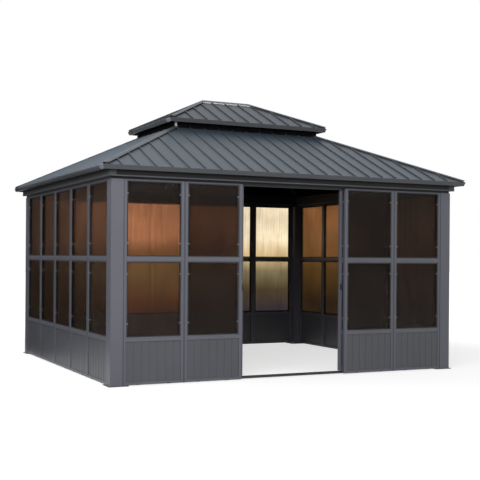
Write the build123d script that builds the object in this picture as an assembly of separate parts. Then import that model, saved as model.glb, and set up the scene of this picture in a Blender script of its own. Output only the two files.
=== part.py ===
from build123d import *
import math
import os

# Glazed metal gazebo with a two-tier hip roof. Millimetres, +Z up, origin on the ground
# under the middle of the roof. X runs along the front, the doorway is on the -Y side.

# Plan sizes: the roof covers walls made of framed panels between four corner posts
roof_width = 3660.0
ridge_length = 610.0
front_overhang = 125.0
side_overhang = 123.0
doorway_width = 1228.0
post_width = 126.0
post_depth = 115.0
post_wall = 3.0
front_bays = 4
side_bays = 5
back_bays = 6

# Heights, from the eave down to the panels and up to the second roof
eave_height = 2104.0
roof_rise_share = 0.4667
eave_drop = 97.0
header_height = 116.0
seat_gap = 21.0
upper_eave_lift = 97.3

# Clearances and cutting
joint_gap = 0.3
panel_gap = 3.0
cut_overrun = 5.0

# Foot plates under the posts, each with one anchor hole inside the room
foot_thickness = 8.0
foot_margin = 18.0
foot_tab = 58.0
anchor_radius = 5.5
anchor_inset = 30.0

# Framed panels: stiles, rails, sashes that hold the panes, and a ribbed kick panel below
panel_setback = 4.0
frame_depth = 36.0
stile_width = 30.0
bottom_rail_height = 25.0
kick_top = 424.0
kick_rail_height = 38.0
mid_rail_height = 40.0
top_rail_height = 8.0
sash_width = 16.0
sash_setback = 6.0
sash_depth = 14.0
pane_thickness = 8.0
kick_setback = 7.0
kick_sheet = 4.0
kick_board_relief = 3.0
kick_groove = 8.0
kick_boards = 7

# Header beams on the posts: a hollow box with a drip lip outside and a seat rib below
header_outset = 30.0
header_inset = 100.0
header_wall = 3.0
header_lip_outset = 4.0
header_lip_height = 14.0
seat_rib_start = 8.0
seat_rib_end = 38.0
corner_cover_reach = 70.0
corner_cover_thickness = 2.5

# Sliding door: two leaves behind the fixed panels, in a top channel and on a bottom track
leaf_setback = 53.0
leaf_depth = 30.0
leaf_show = 35.0
leaf_overlap = 22.0
leaf_top_lap = 4.0
leaf_bottom = 36.0
leaf_bottom_rail_height = 40.0
leaf_top_rail_height = 20.0
leaf_sash_setback = 4.0
leaf_sash_depth = 10.0
track_side_gap = 6.0
track_wall = 4.0
top_track_lip_height = 35.0
bottom_track_lip_height = 22.0
track_rib_width = 4.0
track_rib_height = 18.0
glide_length = 60.0
glide_inset = 60.0
handle_height = 66.0
handle_width = 22.0
handle_depth = 8.0
handle_plate = 3.0
handle_grip = 6.0
handle_middle_height = 935.0

# Roof sheets with standing seams, hip and ridge caps on closure strips, eave trims
sheet_thickness = 3.0
seam_pitch = 174.0
seam_shift = -35.0
seam_width = 10.0
seam_height = 14.0
cap_width = 52.0
cap_thickness = 3.0
closure_width = 12.0
hip_closure_setback = 18.0
ridge_closure_setback = 5.0
seam_stop_gap = 2.0
trim_height = 40.0
trim_thickness = 4.0
trim_return = 18.0
trim_lean = 13.0
corner_plate_length = 120.0
corner_plate_cut = 25.0
corner_plate_thickness = 2.6
corner_plate_gap = 2.0

# Vent between the two roofs, and the frame under the sheets
vent_width = 1210.0
curb_width = 40.0
curb_height = 70.0
curb_upstand = 4.0
upper_overhang = 92.0
ring_height = 50.0
vent_post_width = 30.0
vent_post_share = 1 / 3
rafter_width = 40.0
rafter_depth = 60.0
rafter_heel = 25.0
upper_heel = 25.0
rafter_place_share = 0.55
ridge_beam_width = 40.0
ridge_beam_depth = 80.0

# Sizes that follow from the ones above
roof_length = roof_width + ridge_length
vent_run = (roof_width - vent_width) / 2
half_length = roof_length / 2 - side_overhang
half_width = roof_width / 2 - front_overhang
front_run = 2 * (half_length - post_width)
side_run = 2 * (half_width - post_depth)
front_bay_width = (front_run - doorway_width) / front_bays
header_bottom = eave_height - eave_drop
header_top = header_bottom + header_height
panel_top = header_bottom - seat_gap
glazing_bottom = kick_top + kick_rail_height
glazing_top = panel_top - top_rail_height
mid_rail_bottom = (glazing_bottom + glazing_top - mid_rail_height) / 2
leaf_back = leaf_setback + leaf_depth
leaf_width = doorway_width / 2 + leaf_overlap
leaf_top = panel_top + leaf_top_lap
roof_angle = math.atan(roof_rise_share)
cap_lift = seam_height / math.cos(roof_angle) + joint_gap
hip_closure_edge = cap_width - hip_closure_setback
ridge_closure_edge = cap_width - ridge_closure_setback

os.makedirs("parts", exist_ok=True)


def save(name, pieces):
    solids = [solid for piece in pieces for solid in piece.solids()]
    shape = solids[0] if len(solids) == 1 else Compound(children=solids)
    export_step(shape, f"parts/{name}.step")


def block(x_low, x_high, y_low, y_high, z_low, z_high):
    size = (x_high - x_low, y_high - y_low, z_high - z_low)
    return Pos(x_low, y_low, z_low) * Box(*size, align=(Align.MIN, Align.MIN, Align.MIN))


def prism(points, direction):
    outline = Wire.make_polygon([Vector(*point) for point in points])
    return Part() + Solid.extrude(Face(outline), Vector(*direction))


# Each wall is drawn in its own frame: X along the wall seen from outside, Y into the room
# from the outer face of the posts, and then turned to its side of the building.
walls = {
    "front": Rot(0, 0, 0) * Pos(0, -half_width, 0),
    "right": Rot(0, 0, 90) * Pos(0, -half_length, 0),
    "back": Rot(0, 0, 180) * Pos(0, -half_width, 0),
    "left": Rot(0, 0, 270) * Pos(0, -half_length, 0),
}
wall_half = {"front": half_length, "back": half_length, "left": half_width, "right": half_width}


def four_corners(shape):
    pair = [shape, mirror(shape, Plane.YZ)]
    return pair + [mirror(piece, Plane.XZ) for piece in pair]


# Corner posts: hollow tubes on foot plates, which reach inwards for an anchor bolt
post_tube = block(0, post_width, 0, post_depth, foot_thickness, panel_top)
post_tube -= block(
    post_wall,
    post_width - post_wall,
    post_wall,
    post_depth - post_wall,
    foot_thickness,
    panel_top,
)
foot_plate = block(
    -foot_margin,
    post_width + foot_tab,
    -foot_margin,
    post_depth + foot_tab,
    0,
    foot_thickness,
)
foot_plate -= Pos(post_width + anchor_inset, post_depth + anchor_inset, 0) * Cylinder(
    anchor_radius, foot_thickness + 2 * cut_overrun
)
outer_corner = Pos(-half_length, -half_width, 0)
post_names = ("post_front_left", "post_front_right", "post_back_left", "post_back_right")
for post_name, post in zip(post_names, four_corners(outer_corner * post_tube)):
    save(post_name, [post])
save("foot_plates", four_corners(outer_corner * foot_plate))


# Header beams: one profile all round, mitred at the corners
def header_beam(half):
    outer = header_outset + header_lip_outset
    profile = [
        (-outer, header_bottom),
        (-outer, header_bottom + header_lip_height),
        (-header_outset, header_bottom + header_lip_height),
        (-header_outset, header_top),
        (header_inset, header_top),
        (header_inset, header_bottom),
        (seat_rib_end, header_bottom),
        (seat_rib_end, panel_top + joint_gap),
        (seat_rib_start, panel_top + joint_gap),
        (seat_rib_start, header_bottom),
    ]
    reach = half + outer
    beam = prism([(-reach, y, z) for y, z in profile], (2 * reach, 0, 0))
    beam -= block(
        -reach,
        reach,
        -header_outset + header_wall,
        header_inset - header_wall,
        header_bottom + header_wall,
        header_top - header_wall,
    )
    mitre_gap = joint_gap / 2
    outline = [
        (-(half + outer - mitre_gap), -outer),
        (half + outer - mitre_gap, -outer),
        (half - header_inset - mitre_gap, header_inset),
        (-(half - header_inset - mitre_gap), header_inset),
    ]
    full_height = header_top - panel_top + cut_overrun
    mitred = prism([(x, y, panel_top) for x, y in outline], (0, 0, full_height))
    return beam & mitred


for name, place in walls.items():
    save(f"header_{name}", [place * header_beam(wall_half[name])])


# Covers of bent sheet over the four header corners
def header_cover():
    corner_x = -half_length - header_outset
    corner_y = -half_width - header_outset
    reach = corner_cover_reach
    outer = corner_cover_thickness + joint_gap
    z_low = header_bottom + header_lip_height + joint_gap
    z_high = header_top
    plate = block(
        corner_x - outer,
        corner_x + reach,
        corner_y - outer,
        corner_y + reach,
        z_low,
        z_high,
    )
    room = block(
        corner_x - joint_gap,
        corner_x + reach + cut_overrun,
        corner_y - joint_gap,
        corner_y + reach + cut_overrun,
        z_low - cut_overrun,
        z_high + cut_overrun,
    )
    return plate - room


save("header_corner_covers", four_corners(header_cover()))


# Panels: bars of the frame, sashes, panes and kick panels of one bay, in its wall's frame
def frame_bars(x_low, x_high, y_low, depth, z_low, z_high, bottom_rail, top_rail):
    inner_low = x_low + stile_width + joint_gap
    inner_high = x_high - stile_width - joint_gap
    y_high = y_low + depth
    rails = [
        (z_low, z_low + bottom_rail),
        (kick_top, glazing_bottom),
        (mid_rail_bottom, mid_rail_bottom + mid_rail_height),
        (z_high - top_rail, z_high),
    ]
    bars = [
        block(x_low, x_low + stile_width, y_low, y_high, z_low, z_high),
        block(x_high - stile_width, x_high, y_low, y_high, z_low, z_high),
    ]
    for low, high in rails:
        bars.append(block(inner_low, inner_high, y_low, y_high, low, high))
    return bars


def window_spans(z_high, top_rail):
    return [
        (glazing_bottom + joint_gap, mid_rail_bottom - joint_gap),
        (mid_rail_bottom + mid_rail_height + joint_gap, z_high - top_rail - joint_gap),
    ]


def sash(x_low, x_high, y_low, depth, z_low, z_high):
    ring = block(x_low, x_high, y_low, y_low + depth, z_low, z_high)
    return ring - block(
        x_low + sash_width,
        x_high - sash_width,
        y_low - cut_overrun,
        y_low + depth + cut_overrun,
        z_low + sash_width,
        z_high - sash_width,
    )


def kick_panel(x_low, x_high, y_low, z_low, z_high):
    y_sheet = y_low + kick_board_relief
    panel = block(x_low, x_high, y_sheet, y_sheet + kick_sheet, z_low, z_high)
    pitch = (x_high - x_low + kick_groove) / kick_boards
    board_width = pitch - kick_groove
    for i in range(kick_boards):
        board_low = x_low + i * pitch
        panel += block(board_low, board_low + board_width, y_low, y_sheet, z_low, z_high)
    return panel


def panel_opening(x_low, x_high):
    return x_low + stile_width + joint_gap, x_high - stile_width - joint_gap


def fixed_wall(name, spans):
    place = walls[name]
    frames = []
    panes = []
    kicks = []
    sash_front = panel_setback + sash_setback
    pane_front = sash_front + sash_depth
    pane_back = pane_front + pane_thickness
    kick_front = panel_setback + kick_setback
    kick_bottom = foot_thickness + bottom_rail_height + joint_gap
    for low, high in spans:
        x_low = low + panel_gap / 2
        x_high = high - panel_gap / 2
        frames += frame_bars(
            x_low,
            x_high,
            panel_setback,
            frame_depth,
            foot_thickness,
            panel_top,
            bottom_rail_height,
            top_rail_height,
        )
        left, right = panel_opening(x_low, x_high)
        for z_low, z_high in window_spans(panel_top, top_rail_height):
            frames.append(sash(left, right, sash_front, sash_depth, z_low, z_high))
            panes.append(block(left, right, pane_front, pane_back, z_low, z_high))
        kicks.append(kick_panel(left, right, kick_front, kick_bottom, kick_top - joint_gap))
    save(f"{name}_panel_frames", [place * piece for piece in frames])
    save(f"{name}_glazing", [place * piece for piece in panes])
    save(f"{name}_kick_panels", [place * piece for piece in kicks])


def bays(start, count, width):
    return [(start + i * width, start + (i + 1) * width) for i in range(count)]


left_bays = bays(-front_run / 2, front_bays // 2, front_bay_width)
right_bays = bays(doorway_width / 2, front_bays // 2, front_bay_width)
fixed_wall("front", left_bays + right_bays)
fixed_wall("back", bays(-front_run / 2, back_bays, front_run / back_bays))
fixed_wall("left", bays(-side_run / 2, side_bays, side_run / side_bays))
fixed_wall("right", bays(-side_run / 2, side_bays, side_run / side_bays))


# Door tracks behind the front panels, from post to post
track_low = leaf_setback - track_side_gap - track_wall
track_high = leaf_back + track_side_gap + track_wall
track_half = front_run / 2 - joint_gap
leaf_middle = (leaf_setback + leaf_back) / 2
track_floor = foot_thickness + track_wall
track_inner_low = track_low + track_wall
track_inner_high = track_high - track_wall


def track_block(y_low, y_high, z_low, z_high):
    return block(-track_half, track_half, y_low, y_high, z_low, z_high)


lip_bottom = header_bottom - top_track_lip_height
top_track = track_block(track_low, track_high, lip_bottom, header_bottom)
top_track -= track_block(track_inner_low, track_inner_high, lip_bottom, header_bottom - track_wall)
save("front_top_track", [walls["front"] * top_track])

lip_top = foot_thickness + bottom_track_lip_height
rib_low = leaf_middle - track_rib_width / 2
rib_top = foot_thickness + track_rib_height
bottom_track = track_block(track_low, track_high, foot_thickness, lip_top)
bottom_track -= track_block(track_inner_low, track_inner_high, track_floor, lip_top)
bottom_track += track_block(rib_low, rib_low + track_rib_width, track_floor, rib_top)
save("front_bottom_track", [walls["front"] * bottom_track])


# Door leaves: drawn for the left side, and mirrored for the right
leaf_right = -doorway_width / 2 + leaf_show
leaf_left = leaf_right - leaf_width
leaf_sash_front = leaf_setback + leaf_sash_setback
leaf_pane_front = leaf_sash_front + leaf_sash_depth
leaf_pane_back = leaf_pane_front + pane_thickness


def door_leaf():
    left, right = panel_opening(leaf_left, leaf_right)
    frame = frame_bars(
        leaf_left,
        leaf_right,
        leaf_setback,
        leaf_depth,
        leaf_bottom,
        leaf_top,
        leaf_bottom_rail_height,
        leaf_top_rail_height,
    )
    panes = []
    for low, high in window_spans(leaf_top, leaf_top_rail_height):
        frame.append(sash(left, right, leaf_sash_front, leaf_sash_depth, low, high))
        panes.append(block(left, right, leaf_pane_front, leaf_pane_back, low, high))
    kick_bottom = leaf_bottom + leaf_bottom_rail_height + joint_gap
    kick_front = leaf_setback + kick_setback
    kick = [kick_panel(left, right, kick_front, kick_bottom, kick_top - joint_gap)]
    glides = []
    glide_bottom = rib_top + joint_gap
    for x in (leaf_left + glide_inset, leaf_right - glide_inset - glide_length):
        glides.append(block(x, x + glide_length, leaf_setback, leaf_back, glide_bottom, leaf_bottom))
    handle_left = leaf_right - (stile_width + handle_width) / 2
    handle_low = handle_middle_height - handle_height / 2
    handle_front = leaf_setback - handle_depth
    handle = block(
        handle_left,
        handle_left + handle_width,
        leaf_setback - handle_plate,
        leaf_setback,
        handle_low,
        handle_low + handle_height,
    )
    handle += block(
        handle_left + handle_width - handle_grip,
        handle_left + handle_width,
        handle_front,
        leaf_setback,
        handle_low,
        handle_low + handle_height,
    )
    return {
        "frame": frame,
        "glazing": panes,
        "kick_panel": kick,
        "glides": glides,
        "handle": [handle],
    }


for piece_name, pieces in door_leaf().items():
    placed = [walls["front"] * piece for piece in pieces]
    save(f"left_leaf_{piece_name}", placed)
    save(f"right_leaf_{piece_name}", [mirror(piece, Plane.YZ) for piece in placed])


# Roof tiers: four planes of equal pitch, drawn from the eave rectangle and the run inwards
class Tier:
    def __init__(self, half_x, half_y, eave_z, run):
        self.half_x = half_x
        self.half_y = half_y
        self.eave_z = eave_z
        self.run = run

    def height(self, inset):
        return self.eave_z + roof_rise_share * inset

    def corner(self, inset):
        return (-self.half_x + inset, -self.half_y + inset, self.height(inset))


trim_inset = corner_plate_thickness + joint_gap
sheet_inset = trim_inset + trim_thickness + joint_gap
vent_half_x = roof_length / 2 - vent_run
vent_half_y = roof_width / 2 - vent_run
upper_half_x = vent_half_x + upper_overhang
upper_half_y = vent_half_y + upper_overhang
lower = Tier(roof_length / 2, roof_width / 2, eave_height, vent_run)
upper_eave_height = lower.height(vent_run) + upper_eave_lift
upper = Tier(upper_half_x, upper_half_y, upper_eave_height, upper_half_y)

# Turns from the front slope to the other three, with the half-lengths that belong to each
slope_turns = {"front": 0, "right": 90, "back": 180, "left": 270}


# One slope, drawn as the front one: a sheet with plumb edges and standing seams up the fall
def slope_sheet(tier, half_along, half_across, top_inset, shift):
    low = sheet_inset
    high = top_inset
    top_half = max(half_along - high, 0.0)
    edge = [
        (-(half_along - low), low),
        (half_along - low, low),
        (top_half, high),
        (-top_half, high),
    ]
    if top_half == 0.0:
        edge = edge[:3]
    points = [(x, inset - half_across, tier.height(inset)) for x, inset in edge]
    sheet = prism(points, (0, 0, -sheet_thickness))
    count = math.floor((half_along - abs(shift)) / seam_pitch)
    seam_start = low + seam_height * math.sin(roof_angle)
    hip_stop = hip_closure_edge + seam_stop_gap + seam_width / 2
    ridge_stop = ridge_closure_edge + seam_stop_gap
    for i in range(-count, count + 1):
        x = shift + i * seam_pitch
        end = min(high, half_along - abs(x) - hip_stop)
        if high == half_across:
            end = min(end, high - ridge_stop)
        length = (end - seam_start) / math.cos(roof_angle)
        if length <= seam_pitch / 2:
            continue
        seam = Box(seam_width, length, seam_height, align=(Align.CENTER, Align.MIN, Align.MIN))
        plane = Plane(
            origin=(x, seam_start - half_across, tier.height(seam_start)),
            x_dir=(1, 0, 0),
            z_dir=(0, -math.sin(roof_angle), math.cos(roof_angle)),
        )
        sheet += plane * seam
    return sheet


# Strips that follow a slope: bent caps lie on the seams, closures fill the gap below them
def cap_strip(points):
    lifted = [(x, y, z + cap_lift) for x, y, z in points]
    return prism(lifted, (0, 0, cap_thickness))


def closure_strip(points):
    lifted = [(x, y, z + joint_gap) for x, y, z in points]
    return prism(lifted, (0, 0, cap_lift - 2 * joint_gap))


# Outlines of the two strips beside one hip, from one distance off the hip to another
def hip_outlines(tier, start, end, near, far):
    hip = [tier.corner(start), tier.corner(end)]
    front = [(x + near, y, z) for x, y, z in hip]
    front += [(x + far, y, z) for x, y, z in reversed(hip)]
    side = [(x, y + near, z) for x, y, z in hip]
    side += [(x, y + far, z) for x, y, z in reversed(hip)]
    return front, side


def hip_cap(tier, start, end):
    front, side = hip_outlines(tier, start, end, 0, cap_width)
    return cap_strip(front) + cap_strip(side)


def hip_closures(tier, start, end):
    near = hip_closure_edge - closure_width
    pieces = []
    for outline in hip_outlines(tier, start, end, near, hip_closure_edge):
        pieces += four_corners(closure_strip(outline))
    return pieces


# Bent trim along one eave: a face that leans in at its foot, a return below it, mitred ends
def eave_trim(half_along, half_across, eave_z):
    along = half_along - trim_inset
    top = trim_inset - half_across
    foot = top + trim_lean
    back = foot + trim_return
    z_low = eave_z - trim_height
    z_return = z_low + trim_thickness
    profile = [
        (top, eave_z),
        (top + trim_thickness, eave_z),
        (foot + trim_thickness, z_return),
        (back, z_return),
        (back, z_low),
        (foot, z_low),
    ]
    trim = prism([(-along, y, z) for y, z in profile], (2 * along, 0, 0))
    reach = along - joint_gap / 2
    depth = back - top
    outline = [(-reach, top), (reach, top), (reach - depth, back), (depth - reach, back)]
    return trim & prism([(x, y, z_low) for x, y in outline], (0, 0, trim_height))


def tier_trims(tier):
    front = eave_trim(tier.half_x, tier.half_y, tier.eave_z)
    right = Rot(0, 0, 90) * eave_trim(tier.half_y, tier.half_x, tier.eave_z)
    return [front, mirror(front, Plane.XZ), right, mirror(right, Plane.YZ)]


# Plates screwed on the ends of the side trims, leaning with them, with a cut lower corner
def tier_corner_plates(tier):
    inner = -joint_gap
    outer = inner - corner_plate_thickness
    profile = [
        (outer, 0),
        (inner, 0),
        (inner + trim_lean, -trim_height),
        (outer + trim_lean, -trim_height),
    ]
    near_end = trim_lean + corner_plate_gap
    far_end = near_end + corner_plate_length
    plate = prism([(x, near_end, z) for x, z in profile], (0, corner_plate_length, 0))
    lower_corner = [
        (far_end, corner_plate_cut - trim_height),
        (far_end - corner_plate_cut, -trim_height),
        (far_end, -trim_height),
    ]
    plate -= prism([(outer, y, z) for y, z in lower_corner], (trim_lean - outer, 0, 0))
    corner = Pos(trim_inset - tier.half_x, trim_inset - tier.half_y, tier.eave_z)
    return four_corners(corner * plate)


def build_tier(name, tier, top_inset, hip_end):
    for side, turn in slope_turns.items():
        facing = side in ("front", "back")
        along, across = (tier.half_x, tier.half_y) if facing else (tier.half_y, tier.half_x)
        shift = seam_shift if facing else 0.0
        slope = Rot(0, 0, turn) * slope_sheet(tier, along, across, top_inset, shift)
        save(f"{name}_roof_{side}", [slope])
    save(f"{name}_hip_caps", four_corners(hip_cap(tier, sheet_inset, hip_end)))
    save(f"{name}_eave_trims", tier_trims(tier))


lower_hip_end = lower.run - joint_gap
upper_hip_end = upper.run - cap_width - joint_gap
build_tier("lower", lower, lower_hip_end, lower_hip_end)
build_tier("upper", upper, upper.run, upper_hip_end)
lower_closures = hip_closures(lower, sheet_inset, lower_hip_end)
upper_closures = hip_closures(upper, sheet_inset, upper_hip_end)
save("hip_closures", lower_closures + upper_closures)
save("roof_corner_caps", tier_corner_plates(lower) + tier_corner_plates(upper))

# Ridge cap, bent over the tops of all four upper slopes, with a closure on each long side
ridge_half = upper_half_x - upper_half_y


# A point on the right-hand hips of the upper roof, level with a distance from the ridge
def hip_point(across):
    return (ridge_half + abs(across), across, upper.height(upper.run - abs(across)))


def ridge_side(near, far):
    right = [hip_point(-near), hip_point(-far)]
    return right + [(-x, y, z) for x, y, z in reversed(right)]


front_cap = cap_strip(ridge_side(0, cap_width))
end_cap = cap_strip([hip_point(0), hip_point(-cap_width), hip_point(cap_width)])
ridge_cap = front_cap + end_cap
ridge_cap += mirror(front_cap, Plane.XZ)
ridge_cap += mirror(end_cap, Plane.YZ)
save("ridge_cap", [ridge_cap])
closure_near = ridge_closure_edge - closure_width
ridge_closure = closure_strip(ridge_side(closure_near, ridge_closure_edge))
save("ridge_closures", [ridge_closure, mirror(ridge_closure, Plane.XZ)])


# Vent between the roofs: a curb round the lower sheets, posts on it, a ring under the upper roof
def ring(half_x, half_y, width, z_low, z_high):
    front = block(-half_x, half_x, -half_y, -half_y + width, z_low, z_high)
    side_half = half_y - width - joint_gap
    side = block(-half_x, -half_x + width, -side_half, side_half, z_low, z_high)
    return [front, mirror(front, Plane.XZ), side, mirror(side, Plane.YZ)]


curb_top = lower.height(vent_run) + curb_upstand
curb_bottom = curb_top - curb_height
ring_top = upper.height(upper_overhang) - sheet_thickness - joint_gap
ring_bottom = ring_top - ring_height
save("vent_curb", ring(vent_half_x, vent_half_y, curb_width, curb_bottom, curb_top))
save("upper_roof_ring", ring(vent_half_x, vent_half_y, curb_width, ring_bottom, ring_top))


def vent_post(x, y):
    half = vent_post_width / 2
    return block(x - half, x + half, y - half, y + half, curb_top, ring_bottom)


post_line_x = vent_half_x - curb_width / 2
post_line_y = vent_half_y - curb_width / 2
post_mid_x = post_line_x * vent_post_share
vent_posts = [vent_post(x, 0) for x in (-post_line_x, post_line_x)]
for x in (-post_line_x, -post_mid_x, post_mid_x, post_line_x):
    vent_posts += [vent_post(x, y) for y in (-post_line_y, post_line_y)]
save("vent_posts", vent_posts)


# Rafters with a level heel on the beam below and a plumb cut at the top
def rafter_outline(tier, seat_z, start, end, drop):
    top = -sheet_thickness - joint_gap - drop
    bottom_start = (seat_z + rafter_depth - top - tier.eave_z) / roof_rise_share
    return [
        (start, seat_z),
        (bottom_start, seat_z),
        (end, tier.height(end) + top - rafter_depth),
        (end, tier.height(end) + top),
        (start, tier.height(start) + top),
    ]


rafter_end = vent_run - joint_gap
rafter_half_diagonal = rafter_width / 2 / math.sqrt(2)


def slope_rafter(x, half_across, wall_half_across):
    start = half_across - wall_half_across - rafter_heel
    outline = rafter_outline(lower, header_top, start, rafter_end, 0.0)
    points = [(x - rafter_width / 2, inset - half_across, z) for inset, z in outline]
    return prism(points, (rafter_width, 0, 0))


def hip_rafter(tier, seat_z, start, end):
    drop = roof_rise_share * rafter_half_diagonal
    side = rafter_half_diagonal
    outline = rafter_outline(tier, seat_z, start, end - side, drop)
    points = [(-tier.half_x + inset + side, -tier.half_y + inset - side, z) for inset, z in outline]
    return prism(points, (-2 * side, 2 * side, 0))


hip_start = max(lower.half_x - half_length, lower.half_y - half_width) - rafter_heel
rafter_place = vent_half_x * rafter_place_share
front_rafters = [slope_rafter(x, lower.half_y, half_width) for x in (-rafter_place, rafter_place)]
side_rafter = Rot(0, 0, 90) * slope_rafter(0.0, lower.half_x, half_length)
rafters = front_rafters + [mirror(piece, Plane.XZ) for piece in front_rafters]
rafters += [side_rafter, mirror(side_rafter, Plane.YZ)]
rafters += four_corners(hip_rafter(lower, header_top, hip_start, rafter_end))
save("lower_rafters", rafters)

# Ridge beam under the upper sheets, with hip rafters from the ring to its ends
beam_top = upper.height(upper.run - ridge_beam_width / 2) - sheet_thickness - joint_gap
beam_side = ridge_beam_width / 2
beam_bottom = beam_top - ridge_beam_depth
ridge_beam = block(-ridge_half, ridge_half, -beam_side, beam_side, beam_bottom, beam_top)
upper_hip = hip_rafter(upper, ring_top, upper_overhang + upper_heel, upper.run - joint_gap)
save("upper_rafters", four_corners(upper_hip) + [ridge_beam])
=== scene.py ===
import math

import bmesh
import bpy
from mathutils import Matrix, Vector


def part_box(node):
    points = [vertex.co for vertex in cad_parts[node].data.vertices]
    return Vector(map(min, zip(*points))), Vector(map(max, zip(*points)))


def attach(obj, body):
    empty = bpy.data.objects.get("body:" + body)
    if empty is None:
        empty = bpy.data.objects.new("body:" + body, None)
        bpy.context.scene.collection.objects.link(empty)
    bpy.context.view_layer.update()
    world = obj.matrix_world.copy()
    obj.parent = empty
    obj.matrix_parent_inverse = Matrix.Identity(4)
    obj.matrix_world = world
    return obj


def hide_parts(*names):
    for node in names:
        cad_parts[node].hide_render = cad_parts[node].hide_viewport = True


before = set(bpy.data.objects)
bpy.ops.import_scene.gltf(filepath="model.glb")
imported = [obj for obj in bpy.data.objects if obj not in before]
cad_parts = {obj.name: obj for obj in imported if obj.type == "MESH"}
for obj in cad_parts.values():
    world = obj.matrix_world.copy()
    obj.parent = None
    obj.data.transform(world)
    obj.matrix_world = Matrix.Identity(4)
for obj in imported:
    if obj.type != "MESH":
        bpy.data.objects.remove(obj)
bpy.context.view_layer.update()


# Corner posts: four square aluminium tubes, powder coated blue-grey. Each stands on a
# coated steel foot plate that is held to the ground by one anchor bolt inside the room.
FRAME_BLUE_GREY = (0.144, 0.148, 0.180, 1)
EDGE_ROUNDING = 0.0016
BOLT_STEEL = (0.42, 0.43, 0.44, 1)
ANCHOR_INSET = 0.030
ANCHOR_RADIUS = 0.011
ANCHOR_HEAD = 0.008
WASHER_RADIUS = 0.016
WASHER_THICKNESS = 0.0025
NOISE_LOW = 0.3
NOISE_HIGH = 0.7


def link_tone(
    tree, colour, socket, patch_scale, patch_spread, speck_scale, speck_spread, speck_length=1
):
    """Two layers of noise lighten and darken one colour: broad cloudy patches and fine specks,
    which may be drawn out upwards into streaks."""
    nodes, links = tree.nodes, tree.links
    place = nodes.new("ShaderNodeTexCoord")
    patches = nodes.new("ShaderNodeTexNoise")
    patches.inputs["Scale"].default_value = patch_scale
    patches.inputs["Detail"].default_value = 3
    specks = nodes.new("ShaderNodeTexNoise")
    specks.inputs["Scale"].default_value = speck_scale
    specks.inputs["Detail"].default_value = 2
    links.new(place.outputs["Object"], patches.inputs["Vector"])
    drawn_out = nodes.new("ShaderNodeMapping")
    drawn_out.inputs["Scale"].default_value = (1, 1, 1 / speck_length)
    links.new(place.outputs["Object"], drawn_out.inputs["Vector"])
    links.new(drawn_out.outputs["Vector"], specks.inputs["Vector"])
    tone = colour
    for noise, spread in ((patches, patch_spread), (specks, speck_spread)):
        ramp = nodes.new("ShaderNodeValToRGB")
        ramp.color_ramp.elements[0].position = NOISE_LOW
        ramp.color_ramp.elements[1].position = NOISE_HIGH
        ramp.color_ramp.elements[0].color = (1 - spread, 1 - spread, 1 - spread, 1)
        ramp.color_ramp.elements[1].color = (1 + spread, 1 + spread, 1 + spread, 1)
        links.new(noise.outputs["Fac"], ramp.inputs["Fac"])
        mix = nodes.new("ShaderNodeMix")
        mix.data_type = "RGBA"
        mix.blend_type = "MULTIPLY"
        mix.clamp_result = False
        mix.inputs["Factor"].default_value = 1
        if isinstance(tone, tuple):
            mix.inputs["A"].default_value = tone
        else:
            links.new(tone, mix.inputs["A"])
        links.new(ramp.outputs["Color"], mix.inputs["B"])
        tone = mix.outputs["Result"]
    links.new(tone, socket)
    return specks


SATIN = 0.42
PATCH_SCALE = 1.7
PATCH_SPREAD = 0.07
SPECK_SCALE = 240
SPECK_SPREAD = 0.05
GRAIN_STRENGTH = 0.35
GRAIN_DEPTH = 0.00012
WELD_REACH = 0.00005
FLAT_ANGLE = math.radians(0.5)
EDGE_ANGLE = math.radians(20)
POST_ROUNDING = 0.003


def coated_metal(name, colour, roughness, metallic=0.0, gloss=0.5):
    """Powder coat or bare metal: a mottled colour with a fine grain in the surface."""
    material = bpy.data.materials.new(name)
    material.use_nodes = True
    tree = material.node_tree
    shader = tree.nodes["Principled BSDF"]
    shader.inputs["Roughness"].default_value = roughness
    shader.inputs["Metallic"].default_value = metallic
    shader.inputs["Specular IOR Level"].default_value = gloss
    base = shader.inputs["Base Color"]
    specks = link_tone(tree, colour, base, PATCH_SCALE, PATCH_SPREAD, SPECK_SCALE, SPECK_SPREAD)
    bump = tree.nodes.new("ShaderNodeBump")
    bump.inputs["Strength"].default_value = GRAIN_STRENGTH
    bump.inputs["Distance"].default_value = GRAIN_DEPTH
    tree.links.new(specks.outputs["Fac"], bump.inputs["Height"])
    tree.links.new(bump.outputs["Normal"], shader.inputs["Normal"])
    return material


def finish_node(name, material, rounding=EDGE_ROUNDING):
    """Gives a CAD node its finish, and rounds its edges a little so that they catch the light."""
    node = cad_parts[name]
    node.data.materials.clear()
    node.data.materials.append(material)
    weld = node.modifiers.new("weld", "WELD")
    weld.merge_threshold = WELD_REACH
    flatten = node.modifiers.new("flatten", "DECIMATE")
    flatten.decimate_type = "DISSOLVE"
    flatten.angle_limit = FLAT_ANGLE
    flatten.delimit = {"MATERIAL"}
    bevel = node.modifiers.new("round", "BEVEL")
    bevel.width = rounding
    bevel.segments = 2
    bevel.limit_method = "ANGLE"
    bevel.angle_limit = EDGE_ANGLE
    bevel.harden_normals = True
    return node


def add_block(mesh, low, high, place=Matrix.Identity(4)):
    """Adds a box between two corners to a mesh in the making, set down by a placing matrix."""
    size = Vector(high) - Vector(low)
    middle = (Vector(high) + Vector(low)) / 2
    shape = Matrix.Translation(middle) @ Matrix.Diagonal((*size, 1))
    bmesh.ops.create_cube(mesh, size=1, matrix=place @ shape)


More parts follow.
